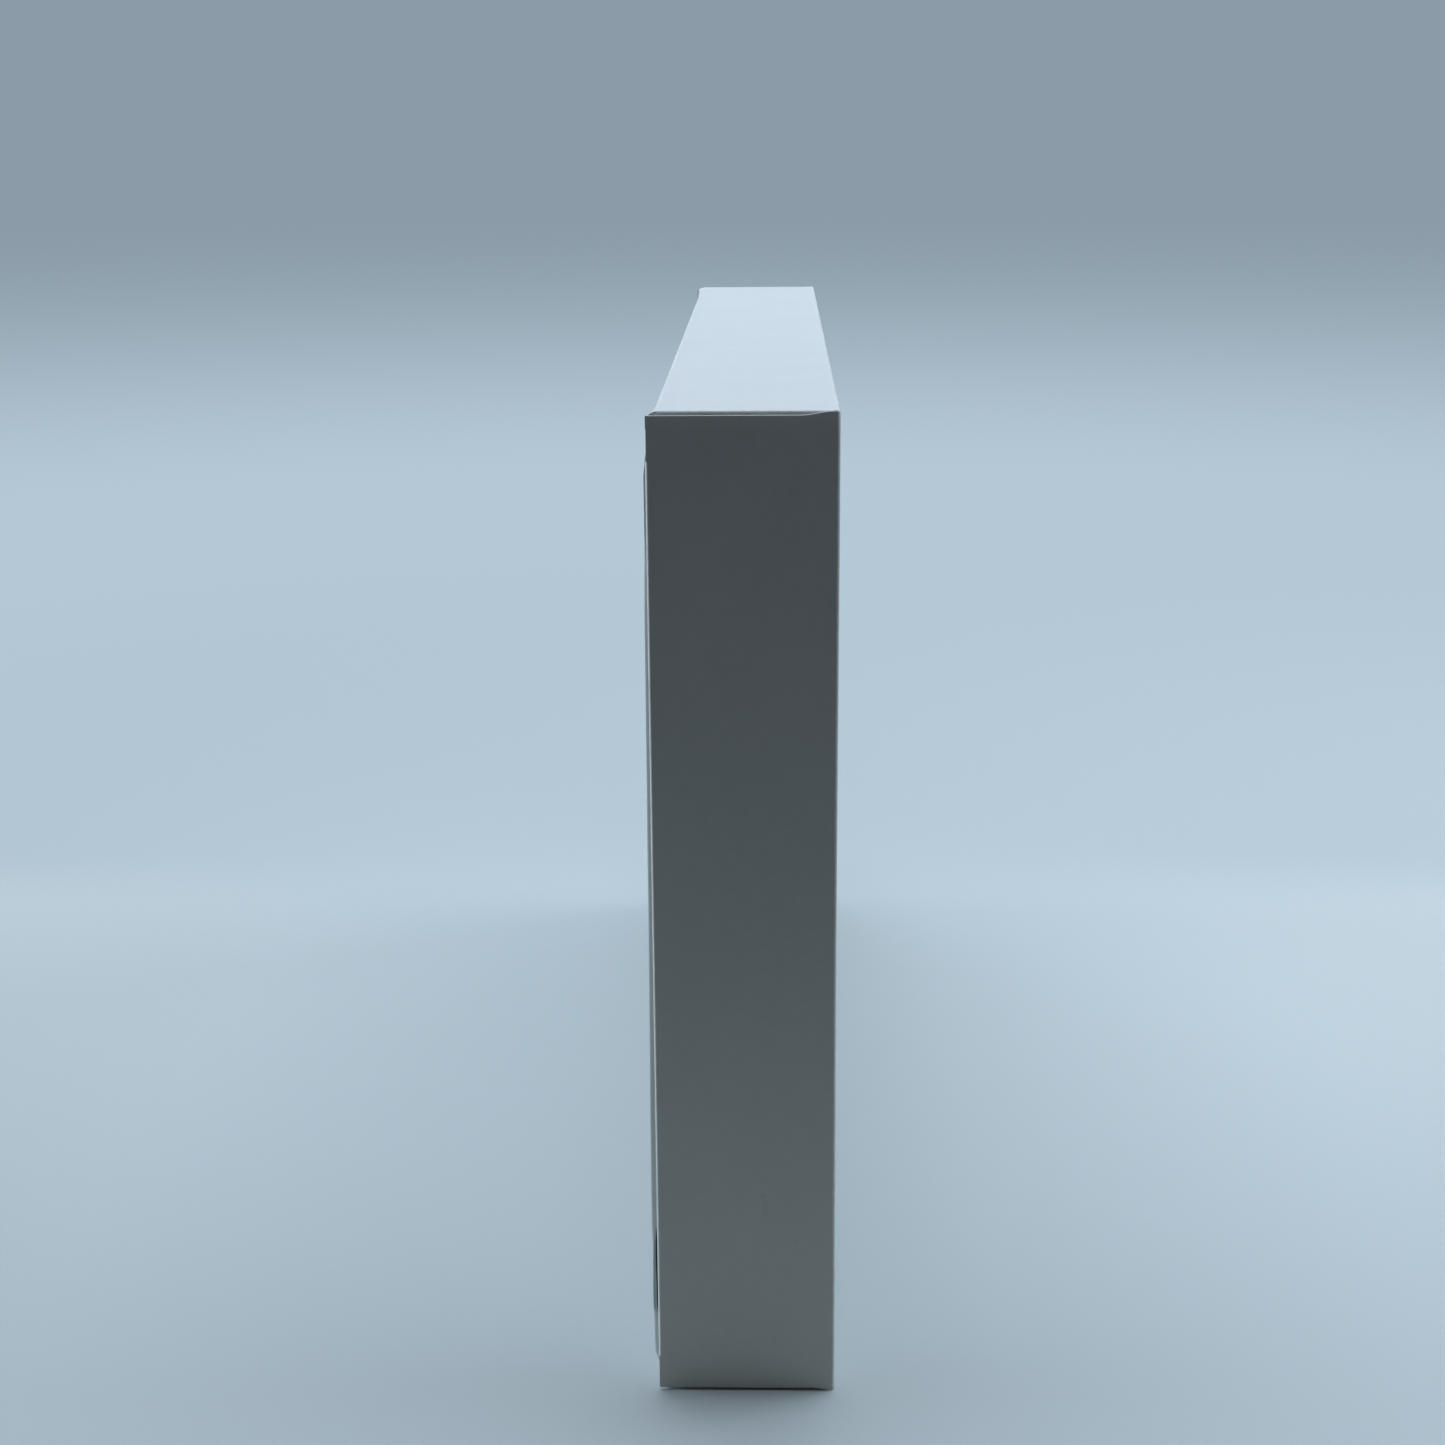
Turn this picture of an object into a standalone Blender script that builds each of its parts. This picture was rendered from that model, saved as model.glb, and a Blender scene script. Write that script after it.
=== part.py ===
"""White paperboard tuck-end carton for a board game, standing on one long narrow side.

The carton is one die-cut and creased board. Every panel and flap between two creases
is a body of its own here, and a crease is the narrow space between two of them.

Frame: metres, +Z up. X runs across the carton's thickness, Y along its length, and the
origin is under the middle of the whole carton, on the surface that it stands on. The
near end faces -Y and the far end +Y. The two ends are mirror images of each other.
"""
import math

import bmesh
import bpy
from mathutils import Vector

MM = 0.001

# The board
BOARD = 0.42 * MM                  # thickness of the paperboard
CREASE = 0.42 * MM                 # from a crease's middle to the flat board beside it
REST_GAP = 0.30 * MM               # between boards that lie on each other

# The tube: four long panels round the contents
TUBE_WIDTH = 28.9 * MM             # across the narrow sides, outside
TUBE_HEIGHT = 168.0 * MM           # across the wide panels, outside
TUBE_LENGTH = 247.0 * MM           # between the outer faces of the dust flaps
GLUE_FLAP_WIDTH = 13.0 * MM
GLUE_FLAP_SETBACK = 4.0 * MM       # from the tube's end to the glue flap
GLUE_FLAP_TAPER = math.radians(15)
RAW_EDGE_SETBACK = 0.2 * MM        # the cut edge of the seam, in from the corner

# The front panel's free ends spring out over the tucked flaps
BOW_PLAY_UPPER = 0.10 * MM         # end edge clear of the closure, along its upper part
BOW_PLAY_LOWER = 0.52 * MM         # and along its lower part, where it gapes more
BOW_UPPER_FROM = 108.0 * MM        # height from which the upper play holds
BOW_LOWER_TO = 45.0 * MM           # height up to which the lower play holds
BOW_RISE = 13.0 * MM               # from a long crease to the full bow
BOW_RUN = 70.0 * MM                # from the end edge to the flat of the panel

# The closure panels
CLOSURE_OVERHANG = 1.1 * MM        # free edge past the tube's front corner
CLOSURE_TOP_GAP = 0.55 * MM        # cut edge below the top of the tube
CLOSURE_BOTTOM_GAP = 0.45 * MM     # cut edge above the underside of the tube
HINGE_GAP = 0.05 * MM              # the same at the hinge, where the cut curves out
FLARE_FROM = 2.0 * MM              # that curve's start and end, from the hinge
FLARE_TO = 6.0 * MM

# The tuck flaps and the slits that lock them
TUCK_LENGTH = 12.0 * MM
TUCK_CORNER = 9.0 * MM
TUCK_LEAN = math.radians(20)       # how far a tucked flap leans in from the front panel
TUCK_SETBACK = 0.1 * MM            # crease in from the closure's free edge
TUCK_CREASE = 0.56 * MM            # wider than the others, because it folds past square
SLIT_UPPER = 7.2 * MM
SLIT_LOWER = 6.0 * MM
SLIT_RELIEF = 1.2 * MM             # from a slit's end to the tuck flap's shoulder

# The dust flaps
DUST_LENGTH = 26.0 * MM
DUST_SIDE_GAP = 0.45 * MM          # to the wide panels
DUST_HINGE_TAPER = 1.5 * MM        # cut away along the edge next to the closure's hinge
DUST_SHOULDER = 6.4 * MM           # full width down to here, where it meets the slit
DUST_SHOULDER_DROP = 2.4 * MM      # the slanted cut under the shoulder
DUST_TUCK_GAP = 2.2 * MM           # to the tuck flap's edge, below the shoulder
DUST_CORNER = 4.0 * MM

# How finely curves are cut into flats
ARC_STEPS = 8                      # chords in a quarter circle
FLARE_STEPS = 6                    # chords in the curved cut at a closure's hinge
RUN_STEPS = 7                      # flats along the bow's run, at each end
RISE_STEPS = 5                     # flats up the bow's rise, at each long crease
MIDDLE_STEPS = 8                   # flats between the two rises
GRADING = 1.5                      # flats grow away from an edge by this power
SHARP_EDGE = math.radians(40)      # edges of the bowed panel at least this sharp stay crisp

# Planes that more than one piece is placed from
HALF_BOARD = BOARD / 2
FLAT_FROM = HALF_BOARD + CREASE    # outer face of the next panel to a panel's flat end
BOW_UPPER = CLOSURE_OVERHANG + BOARD + BOW_PLAY_UPPER
BOW_LOWER = CLOSURE_OVERHANG + BOARD + BOW_PLAY_LOWER
CARTON_WIDTH = TUBE_WIDTH + max(BOW_UPPER, BOW_LOWER)
BACK_X = CARTON_WIDTH / 2                          # outer face of the back panel
FRONT_X = BACK_X - TUBE_WIDTH                      # outer face of the front panel's flat
FREE_EDGE_X = FRONT_X - CLOSURE_OVERHANG           # free edge of a closure
HINGE_X = BACK_X - HALF_BOARD                      # crease of a closure
TUCK_X = FREE_EDGE_X + TUCK_SETBACK + HALF_BOARD   # crease of a tuck flap
TUBE_END_Y = TUBE_LENGTH / 2                       # outer face of a dust flap
CLOSURE_Y = TUBE_END_Y + REST_GAP + HALF_BOARD     # middle of a closure's board
DUST_FOLD_Y = TUBE_END_Y - BOARD                   # crease of a dust flap, at its inside
GLUE_Z = BOARD + REST_GAP + HALF_BOARD             # middle of the glue flap's board

BOARD_WHITE = (0.80, 0.83, 0.85)
INSIDE_WHITE = (0.74, 0.75, 0.73)


def clear_scene():
    for item in list(bpy.data.objects):
        bpy.data.objects.remove(item, do_unlink=True)


def board_material(name, colour, roughness=0.62):
    """Uncoated white board: its own material for each panel and flap."""
    material = bpy.data.materials.new(name + "_board")
    material.use_nodes = True
    shader = material.node_tree.nodes["Principled BSDF"]
    shader.inputs["Base Color"].default_value = (*colour, 1.0)
    shader.inputs["Roughness"].default_value = roughness
    shader.inputs["Metallic"].default_value = 0.0
    material.diffuse_color = (*colour, 1.0)
    return material


def add_object(name, mesh, location, rotation=(0, 0, 0), parent=None, colour=BOARD_WHITE):
    """Place a mesh; location and rotation are in the parent's space where it has one."""
    item = bpy.data.objects.new(name, mesh)
    item.location = location
    item.rotation_euler = rotation
    item.parent = parent
    item.data.materials.append(board_material(name, colour))
    bpy.context.scene.collection.objects.link(item)
    return item


def plate_mesh(name, outline, middle=0.0):
    """Board of the outline given in local X and Z, with its thickness centred on Y = middle."""
    shape = bmesh.new()
    corners = [shape.verts.new((x, middle - HALF_BOARD, z)) for x, z in outline]
    face = shape.faces.new(corners)
    grown = bmesh.ops.extrude_face_region(shape, geom=[face])
    moved = [item for item in grown["geom"] if isinstance(item, bmesh.types.BMVert)]
    bmesh.ops.translate(shape, verts=moved, vec=(0, BOARD, 0))
    bmesh.ops.recalc_face_normals(shape, faces=shape.faces)
    mesh = bpy.data.meshes.new(name)
    shape.to_mesh(mesh)
    shape.free()
    return mesh


def rounded(outline):
    """Turn (x, z, radius) corners into points, each round corner as an arc of chords."""
    points = []
    count = len(outline)
    for index, (x, z, radius) in enumerate(outline):
        corner = Vector((x, z))
        if not radius:
            points.append(tuple(corner))
            continue
        back = (Vector(outline[index - 1][:2]) - corner).normalized()
        ahead = (Vector(outline[(index + 1) % count][:2]) - corner).normalized()
        half_angle = back.angle(ahead) / 2
        reach = radius / math.tan(half_angle)
        centre = corner + (back + ahead).normalized() * radius / math.sin(half_angle)
        start = corner + back * reach - centre
        turn = start.angle_signed(corner + ahead * reach - centre)
        steps = max(1, round(ARC_STEPS * abs(turn) / (math.pi / 2)))
        for step in range(steps + 1):
            angle = -turn * step / steps
            spun = Vector((start.x * math.cos(angle) - start.y * math.sin(angle),
                           start.x * math.sin(angle) + start.y * math.cos(angle)))
            points.append(tuple(centre + spun))
    return points


def rectangle(low_x, high_x, low_z, high_z):
    return [(low_x, low_z), (high_x, low_z), (high_x, high_z), (low_x, high_z)]


def smooth_step(value):
    value = min(max(value, 0.0), 1.0)
    return value * value * (3 - 2 * value)


# ---------------------------------------------------------------- the tube

def front_bow(y, z):
    """How far the front panel stands out from its flat plane at a point."""
    edge = min(z, TUBE_HEIGHT - z) / BOW_RISE
    rise = 1 - (1 - min(max(edge, 0.0), 1.0)) ** 2
    share = (z - BOW_LOWER_TO) / (BOW_UPPER_FROM - BOW_LOWER_TO)
    height = BOW_LOWER + (BOW_UPPER - BOW_LOWER) * smooth_step(share)
    inward = (TUBE_END_Y - abs(y)) / BOW_RUN
    run = (1 - min(max(inward, 0.0), 1.0)) ** 2
    return height * rise * run


def graded_stops(low, high, fine_run, fine_steps, coarse_steps):
    """Grid stops from low to high, closer together over fine_run at both ends."""
    fine = [fine_run * (step / fine_steps) ** GRADING for step in range(fine_steps)]
    inner_low = low + fine_run
    inner_high = high - fine_run
    coarse = [inner_low + (inner_high - inner_low) * step / coarse_steps
              for step in range(coarse_steps + 1)]
    return [low + stop for stop in fine] + coarse + [high - stop for stop in reversed(fine)]


def build_front_panel():
    """The wide panel whose free ends close over the tuck flaps, bowed out by them."""
    y_stops = graded_stops(-TUBE_END_Y, TUBE_END_Y, BOW_RUN, RUN_STEPS, 1)
    z_stops = graded_stops(GLUE_Z + CREASE, TUBE_HEIGHT - FLAT_FROM, BOW_RISE, RISE_STEPS,
                           MIDDLE_STEPS)
    shape = bmesh.new()
    sheets = []
    for depth in (0, BOARD):
        sheets.append([[shape.verts.new((depth - front_bow(y, z), y, z)) for z in z_stops]
                       for y in y_stops])
    rows = len(y_stops)
    columns = len(z_stops)
    for sheet in sheets:
        for row in range(rows - 1):
            for column in range(columns - 1):
                shape.faces.new((sheet[row][column], sheet[row + 1][column],
                                 sheet[row + 1][column + 1], sheet[row][column + 1]))
    outer, inner = sheets
    rim = ([(row, 0) for row in range(rows)]
           + [(rows - 1, column) for column in range(1, columns)]
           + [(row, columns - 1) for row in range(rows - 2, -1, -1)]
           + [(0, column) for column in range(columns - 2, 0, -1)])
    for (row, column), (next_row, next_column) in zip(rim, rim[1:] + rim[:1]):
        shape.faces.new((outer[row][column], outer[next_row][next_column],
                         inner[next_row][next_column], inner[row][column]))
    bmesh.ops.recalc_face_normals(shape, faces=shape.faces)
    mesh = bpy.data.meshes.new("front_panel")
    shape.to_mesh(mesh)
    shape.free()
    mesh.shade_smooth()
    mesh.set_sharp_from_angle(angle=SHARP_EDGE)
    return add_object("front_panel", mesh, (FRONT_X, 0, 0))


def build_back_panel():
    """The wide panel that carries both closures, standing on edge along Y."""
    half = CLOSURE_Y - CREASE
    outline = rectangle(-half, half, FLAT_FROM, TUBE_HEIGHT - FLAT_FROM)
    return add_object("back_panel", plate_mesh("back_panel", outline),
                      (HINGE_X, 0, 0), (0, 0, math.pi / 2))


def build_side_panels():
    """The two long narrow panels, laid flat; the lower one ends at the glued seam."""
    half = TUBE_END_Y - FLAT_FROM
    lying = (-math.pi / 2, 0, 0)
    top = rectangle(FRONT_X + FLAT_FROM, BACK_X - FLAT_FROM, -half, half)
    add_object("top_side_panel", plate_mesh("top_side_panel", top),
               (0, 0, TUBE_HEIGHT - HALF_BOARD), lying)
    bottom = rectangle(FRONT_X + RAW_EDGE_SETBACK, BACK_X - FLAT_FROM, -half, half)
    add_object("bottom_side_panel", plate_mesh("bottom_side_panel", bottom),
               (0, 0, HALF_BOARD), lying)


def build_glue_flap():
    """The flap of the front panel that is glued inside the lower side panel."""
    start = FRONT_X + FLAT_FROM
    stop = FRONT_X + HALF_BOARD + GLUE_FLAP_WIDTH
    half = TUBE_END_Y - GLUE_FLAP_SETBACK
    short_half = half - (stop - start) * math.tan(GLUE_FLAP_TAPER)
    outline = [(start, -half), (stop, -short_half), (stop, short_half), (start, half)]
    add_object("glue_flap", plate_mesh("glue_flap", outline),
               (0, 0, GLUE_Z), (-math.pi / 2, 0, 0), colour=INSIDE_WHITE)


# ---------------------------------------------------------------- the two ends

def closure_outline():
    """A closure from its hinge at X = 0 to its free edge at -X, with Z from the floor."""
    width = HINGE_X - FREE_EDGE_X
    tuck_start = width - (TUCK_X - FREE_EDGE_X) - TUCK_CREASE
    top = TUBE_HEIGHT - CLOSURE_TOP_GAP
    bottom = CLOSURE_BOTTOM_GAP

    def flare(gap):
        """Cut edge near the hinge: how far it is from the tube's face, and where."""
        for step in range(FLARE_STEPS + 1):
            share = step / FLARE_STEPS
            across = FLARE_FROM + (FLARE_TO - FLARE_FROM) * share
            yield -across, HINGE_GAP + (gap - HINGE_GAP) * smooth_step(share)

    upper = [(x, TUBE_HEIGHT - gap) for x, gap in flare(CLOSURE_TOP_GAP)]
    lower = [(x, gap) for x, gap in flare(CLOSURE_BOTTOM_GAP)]
    return ([(-CREASE, HINGE_GAP), (-CREASE, TUBE_HEIGHT - HINGE_GAP)] + upper
            + [(-width, top), (-width, top - SLIT_UPPER), (-tuck_start, top - SLIT_UPPER),
               (-tuck_start, bottom + SLIT_LOWER), (-width, bottom + SLIT_LOWER),
               (-width, bottom)] + lower[::-1])


def tuck_outline():
    """A tuck flap from its crease at X = 0 to its round-cornered edge at +X."""
    low = CLOSURE_BOTTOM_GAP + SLIT_LOWER + SLIT_RELIEF
    high = TUBE_HEIGHT - CLOSURE_TOP_GAP - SLIT_UPPER - SLIT_RELIEF
    return rounded([(TUCK_CREASE, low, 0), (TUCK_LENGTH, low, TUCK_CORNER),
                    (TUCK_LENGTH, high, TUCK_CORNER), (TUCK_CREASE, high, 0)])


def dust_outline(low_x, high_x):
    """A dust flap hanging from its crease at Z = 0, with the tuck side at low_x."""
    start_z = HALF_BOARD - CREASE
    tuck_reach = TUCK_LENGTH * math.sin(TUCK_LEAN) + HALF_BOARD * math.cos(TUCK_LEAN)
    cut_x = TUCK_X + tuck_reach + DUST_TUCK_GAP
    return rounded([(low_x, start_z, 0), (low_x, -DUST_SHOULDER, 0),
                    (cut_x, -DUST_SHOULDER - DUST_SHOULDER_DROP, 0),
                    (cut_x, -DUST_LENGTH, DUST_CORNER),
                    (high_x - DUST_HINGE_TAPER, -DUST_LENGTH, DUST_CORNER),
                    (high_x, start_z, 0)])


def build_end(end, side):
    """The closure, its tuck flap and the two dust flaps of one end; side is -1 or +1."""
    closure = add_object(end + "_closure_panel",
                         plate_mesh(end + "_closure_panel", closure_outline()),
                         (HINGE_X, side * CLOSURE_Y, 0))
    tuck_turn = -side * (math.pi / 2 - TUCK_LEAN)
    add_object(end + "_tuck_flap", plate_mesh(end + "_tuck_flap", tuck_outline()),
               (TUCK_X - HINGE_X, 0, 0), (0, 0, tuck_turn), closure, INSIDE_WHITE)

    low_x = FRONT_X + BOARD + DUST_SIDE_GAP
    high_x = BACK_X - BOARD - DUST_SIDE_GAP
    hanging = dust_outline(low_x, high_x)
    standing = [(x, -z) for x, z in reversed(hanging)]
    for level, outline, fold_z in (("upper", hanging, TUBE_HEIGHT - BOARD),
                                   ("lower", standing, BOARD)):
        name = end + "_" + level + "_dust_flap"
        add_object(name, plate_mesh(name, outline, side * HALF_BOARD),
                   (0, side * DUST_FOLD_Y, fold_z), colour=INSIDE_WHITE)


clear_scene()
build_front_panel()
build_back_panel()
build_side_panels()
build_glue_flap()
build_end("near", -1)
build_end("far", 1)
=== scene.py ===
import math

import bmesh
import bpy
import numpy as np
from mathutils import Matrix, Vector
from mathutils.geometry import delaunay_2d_cdt


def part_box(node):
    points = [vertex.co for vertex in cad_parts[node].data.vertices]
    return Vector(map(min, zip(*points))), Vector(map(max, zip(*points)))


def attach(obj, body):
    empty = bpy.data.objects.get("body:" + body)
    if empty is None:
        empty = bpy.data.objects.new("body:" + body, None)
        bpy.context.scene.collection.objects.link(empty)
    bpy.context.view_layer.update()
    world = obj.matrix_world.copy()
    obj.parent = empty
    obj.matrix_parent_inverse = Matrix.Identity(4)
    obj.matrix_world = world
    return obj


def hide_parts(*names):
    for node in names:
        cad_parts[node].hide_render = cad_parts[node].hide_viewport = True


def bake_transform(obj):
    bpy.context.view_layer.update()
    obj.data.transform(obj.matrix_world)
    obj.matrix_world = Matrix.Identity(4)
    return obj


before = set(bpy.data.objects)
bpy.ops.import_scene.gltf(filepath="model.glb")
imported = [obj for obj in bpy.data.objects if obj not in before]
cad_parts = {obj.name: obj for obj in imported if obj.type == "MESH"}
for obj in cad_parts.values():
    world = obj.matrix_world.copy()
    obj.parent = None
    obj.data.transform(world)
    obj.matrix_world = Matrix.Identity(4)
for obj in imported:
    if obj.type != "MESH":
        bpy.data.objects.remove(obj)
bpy.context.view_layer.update()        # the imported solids, in metres, +Z up, standing on Z = 0


# ---------------------------------------------------------------- the view
# A close view of the carton's near end from a little above it, on a lens a little longer
# than a normal one. The camera stands in front of the closure and tips down at it.

MM = 0.001
LENS = 56.8                                     # mm, on a 36 mm wide sensor
EYE = Vector((4.8 * MM, -348.2 * MM, 212.9 * MM))   # from the middle of the closure's foot
YAW = math.radians(1.35)
PITCH = math.radians(-15.12)
TILT = math.radians(0.40)
NEAR_SIGHT = 10 * MM                            # nothing nearer than this is drawn
FAR_SIGHT = 60.0                                # nor further off, in metres

closure_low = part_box("near_closure_panel")[0]
back_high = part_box("back_panel")[1]
foot = Vector(((closure_low.x + back_high.x) / 2, closure_low.y, 0))

camera = bpy.data.objects.new("camera", bpy.data.cameras.new("camera"))
camera.data.lens = LENS
camera.data.clip_start = NEAR_SIGHT
camera.data.clip_end = FAR_SIGHT
camera.location = foot + EYE
camera.rotation_euler = (Matrix.Rotation(YAW, 3, "Z") @ Matrix.Rotation(PITCH, 3, "X")
                         @ Matrix.Rotation(TILT, 3, "Y")
                         @ Matrix.Rotation(math.pi / 2, 3, "X")).to_euler()
bpy.context.scene.collection.objects.link(camera)
bpy.context.scene.camera = camera
bpy.context.scene.view_settings.view_transform = "Standard"


# ---------------------------------------------------------------- back panel
# The wide panel that both closures hang on. All of the carton's panels are one sheet of folding
# boxboard, clay-coated outside and bare inside, with a soft core that shows where it is cut.
# Pressed creases join each panel to the next, and the back panel is a little slack in its middle.


class Signal:
    """What a shader socket gives. Arithmetic on it adds Math nodes."""

    def __init__(self, finish, socket):
        self.finish = finish
        self.socket = socket

    def __add__(self, other):
        return self.finish.math("ADD", self, other)

    def __sub__(self, other):
        return self.finish.math("SUBTRACT", self, other)

    def __rsub__(self, other):
        return self.finish.math("SUBTRACT", other, self)

    def __mul__(self, other):
        return self.finish.math("MULTIPLY", self, other)

    def __truediv__(self, other):
        return self.finish.math("DIVIDE", self, other)

    def __rtruediv__(self, other):
        return self.finish.math("DIVIDE", other, self)

    def __abs__(self):
        return self.finish.math("ABSOLUTE", self)

    __radd__ = __add__
    __rmul__ = __mul__

    def rising(self, low, high):
        """0 up to low, 1 from high on, and a smooth step between them."""
        return self.finish.node("MapRange", {"interpolation_type": "SMOOTHSTEP"},
                                {"Value": self, "From Min": low, "From Max": high})

    def falling(self, low, high):
        return 1 - self.rising(low, high)


class Finish:
    """The shader of a material, or of the world, and the one method that adds nodes to it."""

    COLOUR_A, COLOUR_B, COLOUR_OUT = 6, 7, 2    # the Mix node's colour sockets, by number

    def __init__(self, owner, shader="Principled BSDF", **constants):
        self.owner = owner
        owner.use_nodes = True
        self.tree = owner.node_tree
        self.shader = self.tree.nodes[shader]
        self.set(**constants)

    def set(self, **values):
        """Feeds the shader's own sockets; an underscore stands for a space."""
        sockets = {socket.name.lower().replace(" ", "_"): socket
                   for socket in self.shader.inputs}
        for name, value in values.items():
            self.feed(sockets[name], value)

    def feed(self, socket, value):
        if isinstance(value, Signal):
            self.tree.links.new(value.socket, socket)
        elif isinstance(value, tuple) and socket.type == "RGBA":
            socket.default_value = (*value, 1.0)
        else:
            socket.default_value = value

    def node(self, kind, settings, values, output=0):
        made = self.tree.nodes.new("ShaderNode" + kind)
        for name, value in settings.items():
            setattr(made, name, value)
        for name, value in values.items():
            self.feed(made.inputs[name], value)
        return Signal(self, made.outputs[output])

    def math(self, operation, *values):
        return self.node("Math", {"operation": operation}, dict(enumerate(values)))

    def blend(self, share, colour_a, colour_b):
        """From colour_a where share is 0 to colour_b where it is 1."""
        return self.node("Mix", {"data_type": "RGBA"},
                         {"Factor": share, self.COLOUR_A: colour_a, self.COLOUR_B: colour_b},
                         output=self.COLOUR_OUT)

    def noise(self, place, size, detail=2.0, roughness=0.5):
        """Soft noise from 0 to 1 with features of about the given size."""
        return self.node("TexNoise", {}, {"Vector": place, "Scale": 1 / size, "Detail": detail,
                                          "Roughness": roughness})

    def stretched(self, place, factors):
        """The place with each of its parts multiplied by a factor of its own."""
        return self.node("VectorMath", {"operation": "MULTIPLY"}, {0: place, 1: factors})

    def bump(self, height, distance):
        return self.node("Bump", {}, {"Height": height, "Distance": distance, "Strength": 1.0})

    def board_reading(self):
        """A point's place at rest, how far it is from a cut edge and from a crease in mm, and
        how deep in the board, from 0 on the outer face to 1 on the inner one."""
        rest = self.node("Attribute", {"attribute_name": "rest"}, {}, output="Vector")
        reading = self.node("Attribute", {"attribute_name": "board"}, {}, output="Vector")
        return (rest, *(self.node("SeparateXYZ", {}, {0: reading}, output=part)
                        for part in "XYZ"))


COAT_WHITE = (0.820, 0.842, 0.850)
COAT_SHADE = (0.790, 0.810, 0.818)
COAT_WORN = (0.735, 0.745, 0.745)
COAT_SPECK = (0.56, 0.57, 0.57)
SCUFFS = (((3.3, -124.2, 36.7), (0.60, 0.5, 0.45), 0.45),     # rubs on the near closure: middle
          ((3.7, -124.2, 34.1), (0.80, 0.5, 2.70), 0.20),     # and reach in mm, and strength
          ((8.8, -124.2, 28.3), (0.50, 0.5, 1.30), 0.20))


def coated_face():
    """Calendered clay coat: near-white, a low sheen, a fine tooth, and rubbed at the creases."""
    finish = Finish(bpy.data.materials.new("clay_coated_face"), specular_ior_level=0.42,
                    sheen_weight=0.06, sheen_roughness=0.5)
    rest, edge, crease, _ = finish.board_reading()
    cloud = finish.noise(rest, 24 * MM, detail=3)
    mottle = finish.noise(rest, 1.6 * MM, detail=4, roughness=0.6)
    tooth = finish.noise(rest, 0.22 * MM, detail=3, roughness=0.6)
    handling = finish.noise(finish.stretched(rest, (1.0, 0.35, 1.0)), 9 * MM, detail=5)
    shade = (0.45 * cloud + 0.55 * mottle).rising(0.35, 0.70)
    white = finish.blend(shade, COAT_WHITE, COAT_SHADE)

    crack = crease.falling(0.10, 0.62) * mottle.rising(0.38, 0.66)
    rub = edge.falling(0.05, 0.55) * mottle.rising(0.30, 0.75)
    worn = (0.55 * crack + 0.50 * rub).rising(0.0, 1.0)
    tinted = finish.blend(worn, white, COAT_WORN)

    scatter = finish.node("TexVoronoi", {}, {"Vector": rest, "Scale": 1 / (17 * MM)}, "Distance")
    specks = scatter.falling(0.008, 0.016) * cloud.rising(0.50, 0.56)
    marks = 0.6 * specks
    for middle, reach, strength in SCUFFS:
        from_middle = finish.node("VectorMath", {"operation": "SUBTRACT"},
                                  {0: rest, 1: tuple(part * MM for part in middle)})
        scaled = finish.stretched(from_middle, tuple(1 / (part * MM) for part in reach))
        away = finish.node("VectorMath", {"operation": "LENGTH"}, {0: scaled}, output="Value")
        marks = marks + strength * away.falling(0.30, 1.0) * tooth.rising(0.25, 0.60)
    finish.set(base_color=finish.blend(marks, tinted, COAT_SPECK),
               roughness=0.47 + 0.09 * handling + 0.07 * shade + 0.16 * worn,
               normal=finish.bump(0.55 * tooth + 0.45 * mottle + 0.5 * crack, 0.018 * MM))
    return finish.owner


BARE_LIGHT = (0.765, 0.768, 0.745)
BARE_DARK = (0.690, 0.688, 0.655)
BARE_FIBRE = (0.60, 0.585, 0.54)


def bare_face():
    """Uncoated back of the board: matt, a touch creamy, with the short fibres showing."""
    finish = Finish(bpy.data.materials.new("bare_board_face"), specular_ior_level=0.25,
                    sheen_weight=0.12, sheen_roughness=0.7)
    rest, edge, crease, _ = finish.board_reading()
    cloud = finish.noise(rest, 7 * MM, detail=4, roughness=0.6)
    grain = finish.noise(rest, 0.35 * MM, detail=4, roughness=0.65)
    lengthwise = finish.noise(finish.stretched(rest, (1.0, 0.16, 1.0)), 0.42 * MM, detail=3)
    crosswise = finish.noise(finish.stretched(rest, (0.2, 1.0, 0.2)), 0.50 * MM, detail=3)
    fibre = (abs(lengthwise - 0.5).falling(0.0, 0.018)
             + abs(crosswise - 0.5).falling(0.0, 0.012)) * cloud.rising(0.3, 0.8)
    felt = finish.blend((0.6 * cloud + 0.4 * grain).rising(0.3, 0.7), BARE_LIGHT, BARE_DARK)
    broken = crease.falling(0.05, 0.70) * grain.rising(0.35, 0.70)
    finish.set(base_color=finish.blend(0.45 * fibre + 0.3 * broken, felt, BARE_FIBRE),
               roughness=0.84 + 0.10 * grain,
               normal=finish.bump(0.6 * grain + 0.5 * fibre + 0.6 * broken, 0.035 * MM))
    return finish.owner


CORE_LIGHT = (0.745, 0.785, 0.805)
CORE_DARK = (0.635, 0.665, 0.680)


def cut_face():
    """The cut through the board: plies of bleached fibre under the white coat, a little furred."""
    finish = Finish(bpy.data.materials.new("cut_board_edge"), specular_ior_level=0.2,
                    sheen_weight=0.1, sheen_roughness=0.8)
    rest, _, _, depth = finish.board_reading()
    fur = finish.noise(rest, 0.16 * MM, detail=4, roughness=0.7)
    drift = finish.noise(rest, 3.0 * MM, detail=2)
    ply = finish.noise(rest, 0.9 * MM, detail=2)
    band = (depth * 3 + 1.2 * drift + 0.8 * fur).rising(0.6, 2.9)
    core = finish.blend((0.35 * band + 0.40 * fur + 0.25 * ply).rising(0.25, 0.85),
                        CORE_LIGHT, CORE_DARK)
    skin = depth.falling(0.03, 0.16)
    finish.set(base_color=finish.blend(skin, core, COAT_WHITE),
               roughness=0.88,
               normal=finish.bump(0.4 * ply + 0.6 * fur, 0.03 * MM))
    return finish.owner


BOARD_FACES = (coated_face(), bare_face(), cut_face())

top_low, top_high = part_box("top_side_panel")
dust_low, dust_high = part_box("near_upper_dust_flap")

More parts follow.
